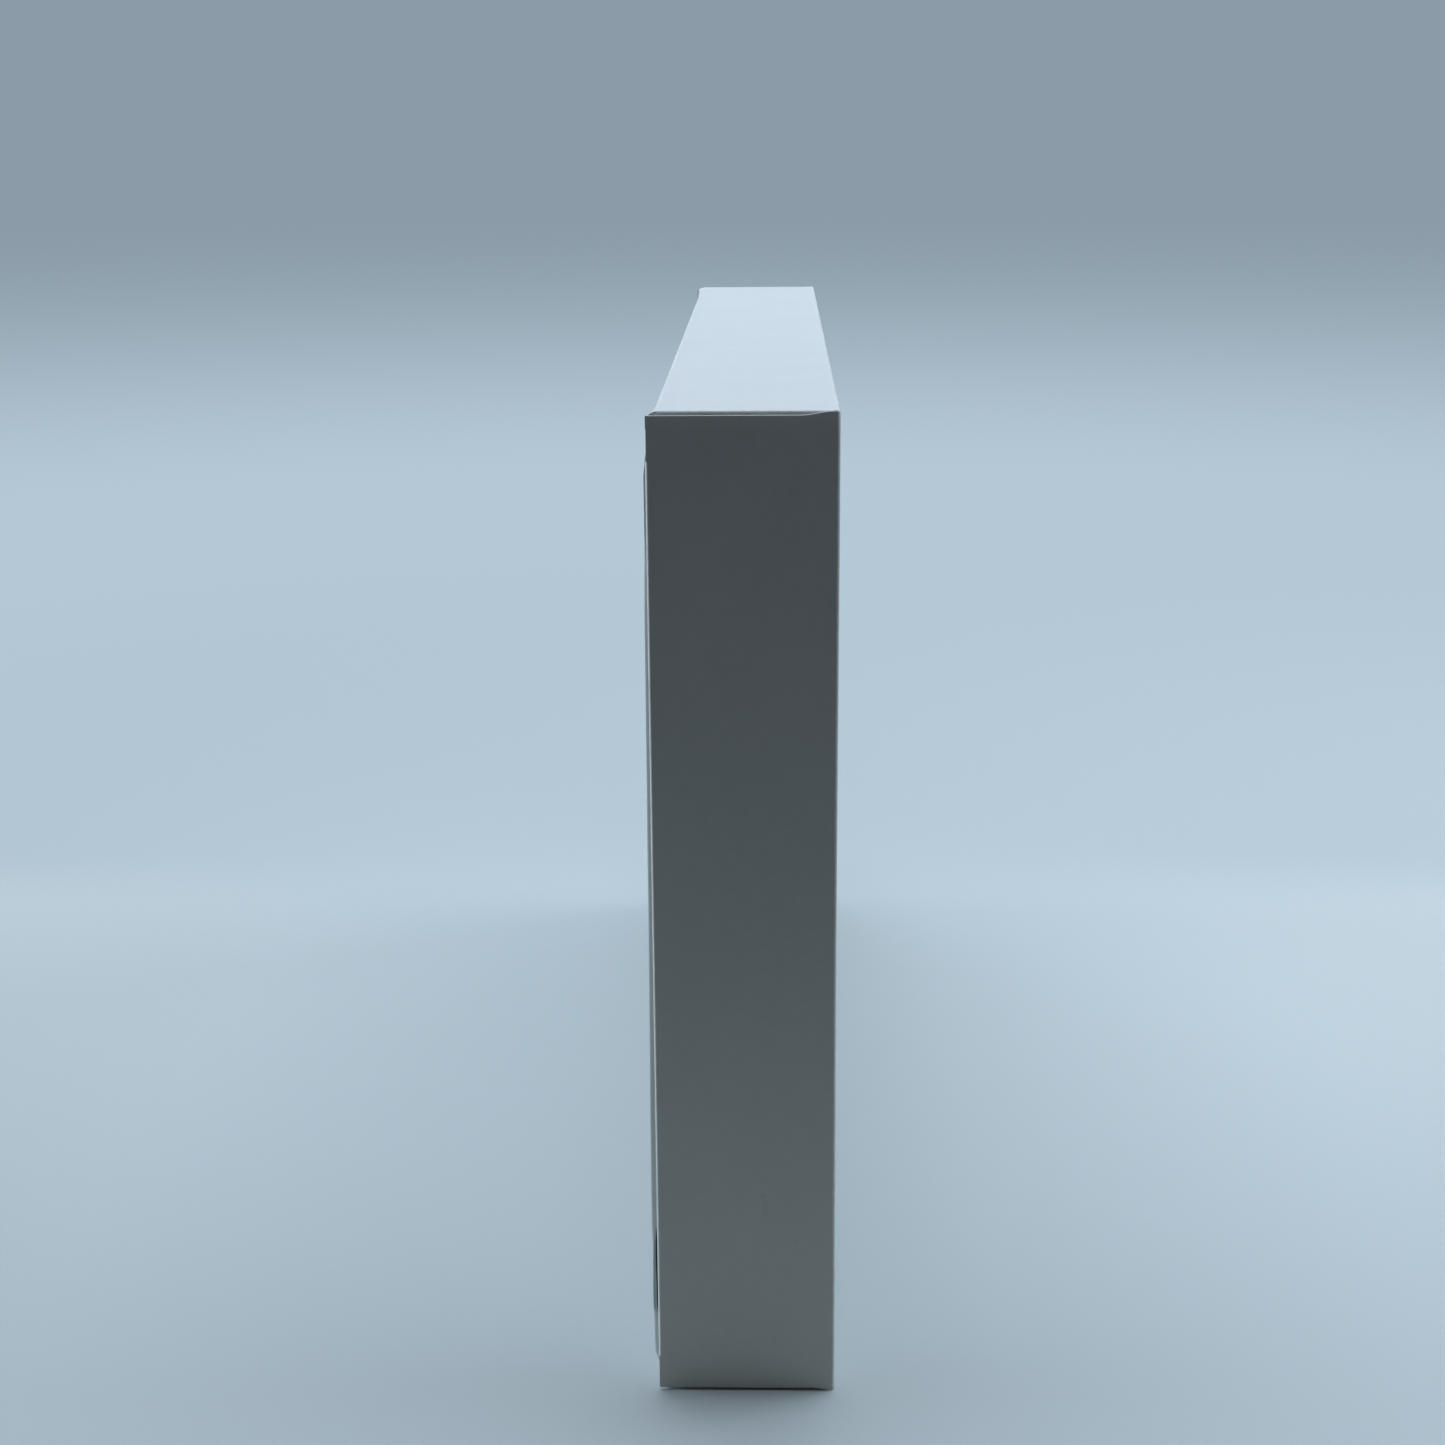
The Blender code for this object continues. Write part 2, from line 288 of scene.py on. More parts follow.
BOARD = top_high.z - top_low.z                  # thickness
BACK_X = back_high.x                            # outer face of the back panel
TUBE_TOP = top_high.z
FOLD_RADIUS = TUBE_TOP - back_high.z            # outer face of a square crease
TUBE_END = -dust_low.y                          # outer face of a dust flap
CLOSURE_FACE = -closure_low.y                   # outer face of a closure
HINGE_Y = CLOSURE_FACE - FOLD_RADIUS            # where the back panel starts to fold
SEAM = 0.3 * MM                                 # flat board that each fold takes with it

GRID = 3.0 * MM                                 # spacing of the points across a panel
ROW_CLEAR = 0.35 * GRID                         # they stay this clear of the ends of their row,
RIM_CLEAR = 0.3 * GRID                          # of the outline
BEND_CLEAR = GRID / 4                           # and of a bend, which has rows of its own
ARC_STEP = 0.6 * MM                             # longest facet round a corner of an outline
BEND_STEPS = 12                                 # facets round a crease
BEAD = 0.30                                     # how much a crease thickens the board inside
ROLL = 0.05 * MM                                # rounding that the cutting rule leaves
ROLL_ANGLES = (0, 30, 60, 90)                   # degrees round that rounding
WORN_BACK = 0.22 * MM                           # a worn edge slants instead: this far back
WORN_DEPTH = 0.36 * MM                          # and this deep
SHARP_ANGLE = math.radians(35)                  # edges sharper than this stay sharp
IN_LINE = 0.05                                  # stretches that turn less than this run straight on
NONE_NEAR = 1.0                                 # m: distance where no cut edge or crease is near
TINY = 1e-7                                     # m: slip allowed at the end of a flat or a bend


def smooth(share):
    """A soft step from 0 to 1 as the share goes from 0 to 1."""
    share = min(max(share, 0.0), 1.0)
    return share * share * (3 - 2 * share)


class FoldPath:
    """The outer face of a strip of board, seen along its creases: flats and bends in turn."""

    def __init__(self, start, heading, inward, axis):
        self.point = Vector(start)
        self.heading = Vector(heading)
        self.inward = Vector(inward)            # from the outer face into the board
        self.axis = Vector(axis)                # along the creases
        self.length = 0.0
        self.runs = []
        self.bends = []                         # where each bend starts and ends
        self.marks = []                         # further rows of points

    def flat(self, length):
        self.runs.append((self.length, length, self.point, self.heading, self.inward, None))
        self.point = self.point + self.heading * length
        self.length += length
        return self

    def bend(self, angle, radius):
        """Folds towards the inner face."""
        length = angle * radius
        self.runs.append((self.length, length, self.point, self.heading, self.inward, radius))
        self.bends.append((self.length, self.length + length))
        centre = self.point + self.inward * radius
        turned = self.heading * math.cos(angle) + self.inward * math.sin(angle)
        self.inward = self.inward * math.cos(angle) - self.heading * math.sin(angle)
        self.heading = turned
        self.point = centre - self.inward * radius
        self.length += length
        return self

    def place(self, along, across, depth):
        """The board's point so far along the path, across it, and in from its outer face."""
        for start, length, point, heading, inward, radius in self.runs:
            if along <= start + length + TINY:
                break
        step = along - start
        if radius is None:
            return point + heading * step + inward * depth + self.axis * across
        facing = inward * math.cos(step / radius) - heading * math.sin(step / radius)
        thick = 1 + BEAD * math.sin(math.pi * min(max(step / length, 0), 1)) ** 2
        return (point + inward * radius - facing * (radius - depth * thick)
                + self.axis * across)

    def rows(self):
        """Where the board needs a row of points, to fold smoothly."""
        return self.marks + [start + (end - start) * step / BEND_STEPS
                             for start, end in self.bends for step in range(BEND_STEPS + 1)]

    def crease_distance(self, along):
        return min((abs(along - (start + end) / 2) for start, end in self.bends),
                   default=NONE_NEAR)


def rounded(corners):
    """Points along an outline of (along, across, radius) corners; each round one is an arc."""
    points = []
    for index, (along, across, radius) in enumerate(corners):
        corner = Vector((along, across))
        if not radius:
            points.append(corner)
            continue
        back = (Vector(corners[index - 1][:2]) - corner).normalized()
        ahead = (Vector(corners[(index + 1) % len(corners)][:2]) - corner).normalized()
        half = back.angle(ahead) / 2
        centre = corner + (back + ahead).normalized() * radius / math.sin(half)
        start = corner + back * radius / math.tan(half) - centre
        turn = start.angle_signed(corner + ahead * radius / math.tan(half) - centre)
        steps = max(3, round(abs(turn) * radius / ARC_STEP))
        for step in range(steps + 1):
            spin = Matrix.Rotation(-turn * step / steps, 2)
            points.append(centre + spin @ start)
    return points


def both_ends(half):
    """The outline whose far end has these corners, and whose near end mirrors it."""
    return rounded([(along, -across, radius) for along, across, radius in half] + half[::-1])


def spaced(outline):
    """The outline with extra points, so that none of its edges is longer than the grid."""
    points = []
    for start, end in zip(outline, outline[1:] + outline[:1]):
        count = max(1, math.ceil((end - start).length / GRID))
        points += [start.lerp(end, step / count) for step in range(count)]
    return points


def crossings(outline, along):
    """Where the line at this distance along the path enters and leaves the outline."""
    found = []
    for start, end in zip(outline, outline[1:] + outline[:1]):
        if (start.x > along) != (end.x > along):
            share = (along - start.x) / (end.x - start.x)
            found.append(start.y + (end.y - start.y) * share)
    found.sort()
    return list(zip(found[::2], found[1::2]))


def lattice(low, high):
    """Multiples of the grid inside the range, clear of its ends."""
    return [step * GRID for step in range(math.ceil((low + ROW_CLEAR) / GRID),
                                          math.floor((high - ROW_CLEAR) / GRID) + 1)]


def distances(points, segments):
    """Distance of each point from the nearest of the segments."""
    places = np.array([tuple(point) for point in points])[:, None, :]
    starts = np.array([tuple(start) for start, _ in segments])[None]
    runs = np.array([tuple(end - start) for start, end in segments])[None]
    share = np.clip(((places - starts) * runs).sum(2) / (runs ** 2).sum(2), 0, 1)
    return np.linalg.norm(places - starts - share[..., None] * runs, axis=2).min(1)


def cut_flat(outline, path):
    """Points and faces that fill the outline, with rows of points along every bend."""
    rim = spaced(outline)
    points = list(rim)
    edges = [(index, (index + 1) % len(rim)) for index in range(len(rim))]
    for row in path.rows():
        for low, high in crossings(outline, row):
            stops = [low] + lattice(low, high) + [high]
            edges += [(len(points) + step, len(points) + step + 1)
                      for step in range(len(stops) - 1)]
            points += [Vector((row, stop)) for stop in stops]
    inner = [Vector((along, across)) for along in lattice(0, path.length)
             for low, high in crossings(outline, along) for across in lattice(low, high)
             if all(not start - BEND_CLEAR < along < end + BEND_CLEAR
                    for start, end in path.bends)]
    if inner:
        clear = distances(inner, list(zip(rim, rim[1:] + rim[:1]))) > RIM_CLEAR
        points += [point for point, fits in zip(inner, clear) if fits]
    inside_only, slip = 1, 1e-5                 # the triangles to keep, and a distance in mm
    cut = delaunay_2d_cdt([point / MM for point in points], edges, [], inside_only, slip)
    return [point * MM for point in cut[0]], cut[2]


def rim_of(points, faces, joined):
    """Directed rim edges, and how each rim point moves for a unit of inset."""
    directed = {(a, b) for face in faces for a, b in zip(face, face[1:] + face[:1])}
    rim = sorted(edge for edge in directed if edge[::-1] not in directed)
    sides = {}
    for a, b in rim:
        run = (points[b] - points[a]).normalized()
        weight = 0.0 if joined((points[a] + points[b]) / 2) else 1.0
        for end in (a, b):
            sides.setdefault(end, []).append((Vector((-run.y, run.x)), weight))
    moves = {}
    for index, ((normal_a, weight_a), (normal_b, weight_b)) in sides.items():
        turn = normal_a.x * normal_b.y - normal_a.y * normal_b.x
        if abs(turn) < IN_LINE:
            moves[index] = (normal_a * weight_a + normal_b * weight_b) / 2
        else:
            moves[index] = Vector((weight_a * normal_b.y - weight_b * normal_a.y,
                                   weight_b * normal_a.x - weight_a * normal_b.x)) / turn
    return rim, moves


def rolled_edge(angle, slant):
    """How far back from the cut, and how deep, a cut edge's face is at an angle round its roll.

    slant is 0 for a crisp edge and 1 for a worn one.
    """
    turn = angle / math.radians(90)
    back = (1 - slant) * ROLL * (1 - math.sin(angle)) + slant * WORN_BACK * (1 - turn)
    depth = (1 - slant) * ROLL * (1 - math.cos(angle)) + slant * WORN_DEPTH * turn
    return back, depth


def board_piece(name, outline, path, joined, shape=None, thickness=BOARD, faces=BOARD_FACES,
                worn=None):
    """A closed sheet of board, cut to the outline, with rolled cut edges, folded and shaped.

    joined tells which stretches of the outline run on into a neighbouring piece: they are
    left square, so that the two faces meet flush. shape moves a folded point to its place.
    worn is 1 where the outer face's edge is worn to a slant, and 0 where it is as cut.
    """
    points, cap = cut_flat(outline, path)
    rim, moves = rim_of(points, cap, joined)
    free = [(points[a], points[b]) for a, b in rim if not joined((points[a] + points[b]) / 2)]
    from_edge = distances(points, free) if free else np.full(len(points), NONE_NEAR)

    rings = []                                  # from the outer face round to the inner one
    flat = []                                   # (along, across, depth, distance from an edge)
    for inner, angles in ((False, ROLL_ANGLES), (True, reversed(ROLL_ANGLES))):
        for angle in map(math.radians, angles):
            ring = {}
            for index, point in enumerate(points):
                if index in moves:
                    slant = worn(point) if worn and not inner else 0.0
                    back, depth = rolled_edge(angle, slant)
                    moved = point + moves[index] * back
                elif angle == 0:
                    moved, depth = point, 0.0
                else:
                    continue
                ring[index] = len(flat)
                flat.append((moved.x, moved.y, thickness - depth if inner else depth,
                             from_edge[index]))
            rings.append(ring)
    outer, inner = rings[0], rings[-1]

    polygons = [tuple(outer[index] for index in reversed(face)) for face in cap]
    polygons += [tuple(inner[index] for index in face) for face in cap]
    polygons += [(upper[a], upper[b], lower[b], lower[a])
                 for upper, lower in zip(rings, rings[1:]) for a, b in rim]

    places = [path.place(along, across, depth) for along, across, depth, _ in flat]
    if shape:
        places = [shape(place) for place in places]
    mesh = bpy.data.meshes.new(name)
    mesh.from_pydata(places, [], polygons)
    for face in faces:
        mesh.materials.append(face)
    slots = [0] * len(cap) + [1] * len(cap) + [2] * (len(polygons) - 2 * len(cap))
    mesh.polygons.foreach_set("material_index", [min(slot, len(faces) - 1) for slot in slots])
    rest = mesh.attributes.new("rest", "FLOAT_VECTOR", "POINT")
    rest.data.foreach_set("vector", [value for place in places for value in place])
    reading = mesh.attributes.new("board", "FLOAT_VECTOR", "POINT")
    reading.data.foreach_set("vector", [
        value for along, across, depth, edge in flat
        for value in (edge / MM, path.crease_distance(along) / MM, depth / thickness)])

    tidy = bmesh.new()
    tidy.from_mesh(mesh)
    bmesh.ops.recalc_face_normals(tidy, faces=tidy.faces)
    bmesh.ops.join_triangles(tidy, faces=tidy.faces, cmp_materials=True,
                             angle_face_threshold=0.1, angle_shape_threshold=0.8)
    tidy.to_mesh(mesh)
    tidy.free()
    mesh.shade_smooth()
    mesh.set_sharp_from_angle(angle=SHARP_ANGLE)
    piece = bpy.data.objects.new(name, mesh)
    bpy.context.scene.collection.objects.link(piece)
    return piece


SLACK = 0.12 * MM                               # how far in a wide panel's middle gives
SLACK_EVEN = 0.8                                # share of it that is the same all along
SLACK_WAVE = 0.6                                # and share that comes and goes
SLACK_LENGTH = 190 * MM                         # from one wave of it to the next
SLACK_START = 0.7                               # radians into the wave at mid-length
SLACK_LEAN = 9                                  # radians that the wave shifts a metre of height
SLACK_FROM_CREASE = 45 * MM                     # it grows over this much board from each crease
SLACK_FROM_END = 50 * MM                        # and from each end
PINCH = 0.11 * MM                               # how far the hinges' middles stand in
PINCH_LENGTH = 50 * MM                          # and how far along the panel that reaches
BACK_DEPTH = 7 * MM                             # and in towards the closures' free edges


def slack(y, z):
    """How far a wide panel stands in from its true plane; nothing at its long creases."""
    free = smooth(min(z, TUBE_TOP - z) / SLACK_FROM_CREASE)
    wave = math.sin(2 * math.pi * y / SLACK_LENGTH + SLACK_START + SLACK_LEAN * z)
    inside = smooth((TUBE_END - abs(y)) / SLACK_FROM_END)
    return free * SLACK * inside * (SLACK_EVEN + SLACK_WAVE * wave)


def back_shape(place):
    """The back panel's slackness. At its two ends the hinges take it and their closures in."""
    if place.x > 0:
        share = smooth(1 - (BACK_X - place.x) / BACK_DEPTH)
        near_hinge = smooth(1 - (TUBE_END - abs(place.y)) / PINCH_LENGTH)
        pinch = math.sin(math.pi * min(max(place.z / TUBE_TOP, 0), 1)) ** 2
        place.x -= (slack(place.y, place.z) + PINCH * pinch * near_hinge) * share
    return place


side_start = FOLD_RADIUS + SEAM                 # lowest and highest line of the wide panels
wide = TUBE_TOP - 2 * side_start
half_back = HINGE_Y - SEAM
back_path = FoldPath((BACK_X, 0, side_start), (0, 0, 1), (-1, 0, 0), (0, 1, 0)).flat(wide)
back_panel = board_piece(
    "back_panel_board", both_ends([(0, half_back, 0), (wide, half_back, 0)]), back_path,
    joined=lambda point: True, shape=back_shape)
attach(back_panel, "carton_tube")
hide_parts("back_panel")


# ---------------------------------------------------------------- front panel
# The wide board panel whose two ends are free: the tucked flaps hold them sprung outwards, most
# near the foot. It is creased to the top side and the glue flap, and its ends are cut straight
# across; handling has worn and pressed in most of that cut.

FRONT_X = top_low.x - FOLD_RADIUS               # outer face of the front panel's flat
CLOSURE_EDGE = closure_low.x                    # free edge of a closure
PRESSED = FRONT_X - CLOSURE_EDGE + BOARD        # bow that just clears a closure's free edge
BOW = ((0.5, 0), (3.5, 0.4), (5, 1.0), (6.5, 1.83), (9, 1.91), (14, 1.92),  # mm: height, and
       (16.3, 2.07), (19, 2.0), (23.7, 1.92), (26, 1.94), (29, 2.10),       # how far out the
       (50, 2.07), (67, 1.96), (84, 1.86), (101, 1.82), (119, 1.73),        # ends stand there
       (136, 1.68), (142, 1.57), (147, 1.48), (153, 1.48), (159.4, 1.50),
       (161, 1.17), (164, 0.80), (167.1, 0))
BOW_RUN = 70 * MM                               # length over which the bow dies away
SOFT_RADIUS = 0.9 * MM                          # its upper long crease has gone a little slack
FRONT_CORNER = 0.3 * MM                         # rounding of its two lower corners
CRISP_CUTS = ((14 * MM, 29 * MM), (145 * MM, 164 * MM))   # heights where the cut isn't worn
CRISP_FADE = 2.2 * MM                           # how fast the wear starts beyond them
CURL = 0.31 * MM                                # how much of the end is pressed in elsewhere
CURL_CLEAR = 0.06 * MM                          # how near to the closure that brings it
CURL_ROWS = (CURL, 0.27 * MM, 0.45 * MM, 0.65 * MM)     # rows of points near that edge
BRUISE = 0.20 * MM                              # how much thicker a knock has left that edge
BRUISE_REACH = 0.6 * MM                         # in from the end
BRUISE_FOOT = 11.5 * MM                         # lowest and highest point of the knock
BRUISE_HEAD = 24.5 * MM
BRUISE_FADES = (2 * MM, 5 * MM)                 # how fast it grows from each of them
CORNER_DROP = 0.05 * MM                         # how far an end corner of the top sinks
CORNER_SPREAD = 0.70 * MM                       # and leans out
CORNER_ACROSS = 0.56 * MM                       # and how far that reaches: across the carton,
CORNER_ALONG = 5 * MM                           # along it
CORNER_DOWN = 5 * MM                            # and down the panel

ON_LINE = 1e-3 * MM                             # what is this near a line lies on it

glue_low, glue_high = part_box("glue_flap")
glue_half = glue_high.y
glue_fold = glue_low.z + FOLD_RADIUS            # where the front panel starts to fold in


def ends_at(*lines):
    """Whether the middle of an outline's edge lies on a line ("x" or "y", value)."""
    return lambda point: any(abs(getattr(point, letter) - value) < ON_LINE
                             for letter, value in lines)


def bow(y, z):
    """How far the front panel stands out from its true plane."""
    heights, outs = zip(*BOW)
    at_end = float(np.interp(z / MM, heights, outs)) * MM
    return at_end * (1 - min(max((TUBE_END - abs(y)) / BOW_RUN, 0.0), 1.0)) ** 2


def handled(z):
    """1 where the front panel's end edge is worn and pressed in, 0 where it is crisp."""
    return 1 - sum(smooth((z - low) / CRISP_FADE) * smooth((high - z) / CRISP_FADE)
                   for low, high in CRISP_CUTS)


def curl(y, z):
    """How far the pressed end of the front panel turns in again towards the closure."""
    reach = max(1 - (TUBE_END - abs(y)) / CURL, 0.0)
    return reach * handled(z) * max(bow(TUBE_END, z) - PRESSED - CURL_CLEAR, 0.0)


def bruise(place):
    """How far the inner side of the bruised cut edge stands in; nothing on the outer face."""
    depth = smooth((place.x - FRONT_X) / BOARD)
    at_end = smooth(1 - (TUBE_END - abs(place.y)) / BRUISE_REACH)
    foot_fade, head_fade = BRUISE_FADES
    between = (smooth((place.z - BRUISE_FOOT) / foot_fade)
               * smooth((BRUISE_HEAD - place.z) / head_fade))
    return BRUISE * depth * at_end * between


def corner(place):
    """0 to 1, at the tube's top front corners, which give a little where the panel springs."""
    return (smooth(1 - (place.x - FRONT_X) / CORNER_ACROSS)
            * smooth(1 - (TUBE_END - abs(place.y)) / CORNER_ALONG)
            * smooth(1 - (TUBE_TOP - place.z) / CORNER_DOWN))


def front_shape(place):
    """The front panel's slackness, bow, worn ends and top corners; it spares the back half."""
    if place.x < 0:
        give = corner(place)
        place.x += (slack(place.y, place.z) - bow(place.y, place.z) + curl(place.y, place.z)
                    + bruise(place) - CORNER_SPREAD * give)
        place.z -= CORNER_DROP * give
    return place


front_head = TUBE_TOP - SOFT_RADIUS - SEAM
front_foot = glue_fold + SEAM                   # down to the glue flap's fold
front_toe = glue_low.z                          # down to the free stretches beside that fold
front_length = 2 * TUBE_END
front_path = FoldPath((FRONT_X, -TUBE_END, 0), (0, 1, 0), (1, 0, 0), (0, 0, 1))
front_path.flat(front_length)
front_path.marks = [*CURL_ROWS, *(front_length - inset for inset in CURL_ROWS)]
front_panel = board_piece(
    "front_panel_board",
    rounded([(0, front_toe, FRONT_CORNER), (TUBE_END - glue_half, front_toe, 0),
             (TUBE_END - glue_half, front_foot, 0), (TUBE_END + glue_half, front_foot, 0),
             (TUBE_END + glue_half, front_toe, 0), (front_length, front_toe, FRONT_CORNER),
             (front_length, front_head, 0), (0, front_head, 0)]),
    front_path, joined=ends_at(("y", front_head), ("y", front_foot)), shape=front_shape,
    worn=lambda point: handled(point.y))
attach(front_panel, "carton_tube")
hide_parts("front_panel")


# ---------------------------------------------------------------- top and bottom side panels
# The narrow long sides, of the same board, with the long creases that join them to the wide
# panels. Beside each dust flap the cut leaves a small ear, and the lower side ends in the raw
# edge of the seam, where the glue flap inside holds it.

EAR_END = TUBE_END - 0.2 * MM                   # the ears stop just short of the tube's end
DUST_SEAM = top_high.y - SEAM                   # where a dust flap's fold takes over
DUST_SPREAD = 0.3 * MM                          # the folds are that much wider than the flaps
RAW_EDGE = 0.2 * MM                             # the seam's cut edge, in from the corner
RAW_CORNER = 0.15 * MM                          # rounding of its two ends
quarter = FOLD_RADIUS * math.pi / 2             # board that a square crease takes up
ear_back = SEAM + quarter + (BACK_X - FOLD_RADIUS - dust_high.x)
ear_front = SEAM + quarter + (BACK_X - FOLD_RADIUS - dust_low.x + DUST_SPREAD)

front_top = TUBE_TOP - side_start               # up to the fold of the top side
far_ears = [(0, HINGE_Y, 0), (SEAM, HINGE_Y, 0), (SEAM, EAR_END, 0), (ear_back, EAR_END, 0),
            (ear_back, DUST_SEAM, 0), (ear_front, DUST_SEAM, 0), (ear_front, EAR_END, 0)]

top_path = FoldPath((BACK_X, 0, front_top), (0, 0, 1), (-1, 0, 0), (0, 1, 0))
top_path.flat(SEAM).bend(math.pi / 2, FOLD_RADIUS)
top_path.flat(BACK_X - FRONT_X - FOLD_RADIUS - SOFT_RADIUS).bend(math.pi / 2, SOFT_RADIUS)
top_path.flat(SEAM)
top_panel = board_piece(
    "top_side_panel_board",
    both_ends(far_ears + [(top_path.length - SEAM, EAR_END, 0),
                          (top_path.length - SEAM, TUBE_END, 0), (top_path.length, TUBE_END, 0)]),
    top_path, shape=front_shape,
    joined=ends_at(("x", 0), ("x", top_path.length), ("y", DUST_SEAM), ("y", -DUST_SEAM)))

bottom_path = FoldPath((BACK_X, 0, side_start), (0, 0, -1), (-1, 0, 0), (0, 1, 0))
bottom_path.flat(SEAM).bend(math.pi / 2, FOLD_RADIUS)
bottom_path.flat(BACK_X - FOLD_RADIUS - FRONT_X - RAW_EDGE)
bottom_panel = board_piece(
    "bottom_side_panel_board",
    both_ends(far_ears + [(bottom_path.length, EAR_END, RAW_CORNER)]), bottom_path,
    joined=ends_at(("x", 0), ("y", DUST_SEAM), ("y", -DUST_SEAM)))
for piece, node in ((top_panel, "top_side_panel"), (bottom_panel, "bottom_side_panel")):
    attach(piece, "carton_tube")
    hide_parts(node)


# ---------------------------------------------------------------- glue flap
# The flap that closes the tube: board creased along the foot of the front panel and stuck down
# inside the lower side. Its two ends are cut at a slant.

GLUE_TAPER = math.radians(15)                   # that slant
GLUE_CORNER = 0.8 * MM                          # rounding of its free corners

glue_reach = glue_high.x - FRONT_X - FOLD_RADIUS
glue_tip = glue_half - glue_reach * math.tan(GLUE_TAPER)
glue_path = FoldPath((FRONT_X, 0, glue_fold + SEAM), (0, 0, -1), (1, 0, 0), (0, 1, 0))
glue_path.flat(SEAM).bend(math.pi / 2, FOLD_RADIUS).flat(glue_reach)
glue_flap = board_piece(
    "glue_flap_board",
    both_ends([(0, glue_half, 0), (SEAM + quarter, glue_half, 0),
               (glue_path.length, glue_tip, GLUE_CORNER)]),
    glue_path, joined=ends_at(("x", 0)),
    shape=lambda place: front_shape(place) if place.z > glue_fold else place)
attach(glue_flap, "carton_tube")
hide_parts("glue_flap")


# ---------------------------------------------------------------- adhesive in the seam
# One ribbon of white glue between the glue flap and the inside of the lower side. It was laid
# along the flap in a wavering stripe and pressed thin, and it dries yellowish and half clear.

GLUE_COLOUR = (0.70, 0.68, 0.60)
RIBBON_SPAN = (-11.4 * MM, -3.2 * MM)           # where it lies, across the carton
RIBBON_SPARE = 2 * MM                           # room for its waves beyond that
RIBBON_BARE = 6 * MM                            # flap without glue at each end
RIBBON_GAP = 0.01 * MM                          # the ribbon stays just clear of the boards
RIBBON_STEPS = 150                              # along each side
RIBBON_WAVES = (3.1 * MM, 7.7 * MM)             # its short and its long wave, per radian
LONG_WAVE_SHARE = 0.6                           # swing of the long one for 1 of the short one
RIBBON_INSET = 0.7 * MM                         # middle line of its outer side, in from its place
RIBBON_OUTER_SWING = 0.2 * MM                   # how far that side sways
RIBBON_INNER_SWING = 0.4 * MM                   # and how far the other side does


def glue_finish():
    """Dried white glue: yellowish, half clear and a little glossy."""
    finish = Finish(bpy.data.materials.new("dried_white_glue"), specular_ior_level=0.5,
                    coat_weight=0.3, coat_roughness=0.25)
    rest = finish.board_reading()[0]
    ripple = finish.noise(rest, 2.0 * MM, detail=3)
    finish.set(base_color=finish.blend(ripple, GLUE_COLOUR, CORE_LIGHT),
               roughness=0.30 + 0.25 * ripple, normal=finish.bump(ripple, 0.08 * MM))
    return finish.owner


def wavering(along, across, swing):
    """A point of the ribbon's side that sways about its middle line."""
    short, long = RIBBON_WAVES
    sway = math.sin(along / short) + LONG_WAVE_SHARE * math.sin(along / long)
    return Vector((across + swing * sway, along))


bottom_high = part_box("bottom_side_panel")[1]
ribbon_start, ribbon_stop = RIBBON_SPAN
ribbon_width = ribbon_stop - ribbon_start
ribbon_half = glue_tip - RIBBON_BARE
ribbon_stops = [-ribbon_half + 2 * ribbon_half * step / RIBBON_STEPS
                for step in range(RIBBON_STEPS + 1)]
ribbon_path = FoldPath((ribbon_start, 0, bottom_high.z + RIBBON_GAP), (1, 0, 0), (0, 0, 1),
                       (0, 1, 0)).flat(ribbon_width + RIBBON_SPARE)
ribbon = board_piece(
    "seam_glue",
    [wavering(stop, RIBBON_INSET, RIBBON_OUTER_SWING) for stop in ribbon_stops]
    + [wavering(stop, ribbon_width, RIBBON_INNER_SWING) for stop in reversed(ribbon_stops)],
    ribbon_path, joined=lambda point: False,
    thickness=glue_low.z - bottom_high.z - 2 * RIBBON_GAP, faces=(glue_finish(),))
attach(ribbon, "carton_tube")


# ---------------------------------------------------------------- closures
# The narrow panel that shuts each end, of the same board. It is creased to the back panel, and
# at its free edge two slits part it from the ends of the tuck flap's crease.

ENDS = (("near", -1), ("far", 1))               # and which way each of them faces along Y
CLOSURE_TOP_GAP = 0.66 * MM                     # cut edge below the top of the tube
CLOSURE_BOTTOM_GAP = 0.45 * MM                  # cut edge above the table
HINGE_GAP = 0.05 * MM                           # the same where the cut curves out to the hinge
UPPER_FLARE = (0.9 * MM, 5.9 * MM)              # that curve's start and end, from the hinge
LOWER_FLARE = (0.6 * MM, 3.4 * MM)
FLARE_STEPS = 10                                # straight pieces that make the curve
SLIT_UPPER = 7.1 * MM                           # the slits, in from the closure's corners
SLIT_LOWER = 6.0 * MM
NICK = 0.07 * MM                                # nub left where the blank was held in its sheet
NICK_LENGTH = 1.9 * MM
SHARP_CORNER = 0.08 * MM                        # roundings of its corners
SOFT_CORNER = 0.35 * MM
TUCK_RADIUS = 0.45 * MM                         # the tuck flap's crease
TUCK_FACE_X = -14.58 * MM                       # where that crease stands out furthest
TUCK_SEAM = 0.06 * MM                           # flat board that its fold takes with it
TUCK_START_X = TUCK_FACE_X + TUCK_RADIUS + TUCK_SEAM


def notch_line(path):
    """How far along a closure its tuck flap starts."""
    return path.length + CLOSURE_EDGE - TUCK_START_X


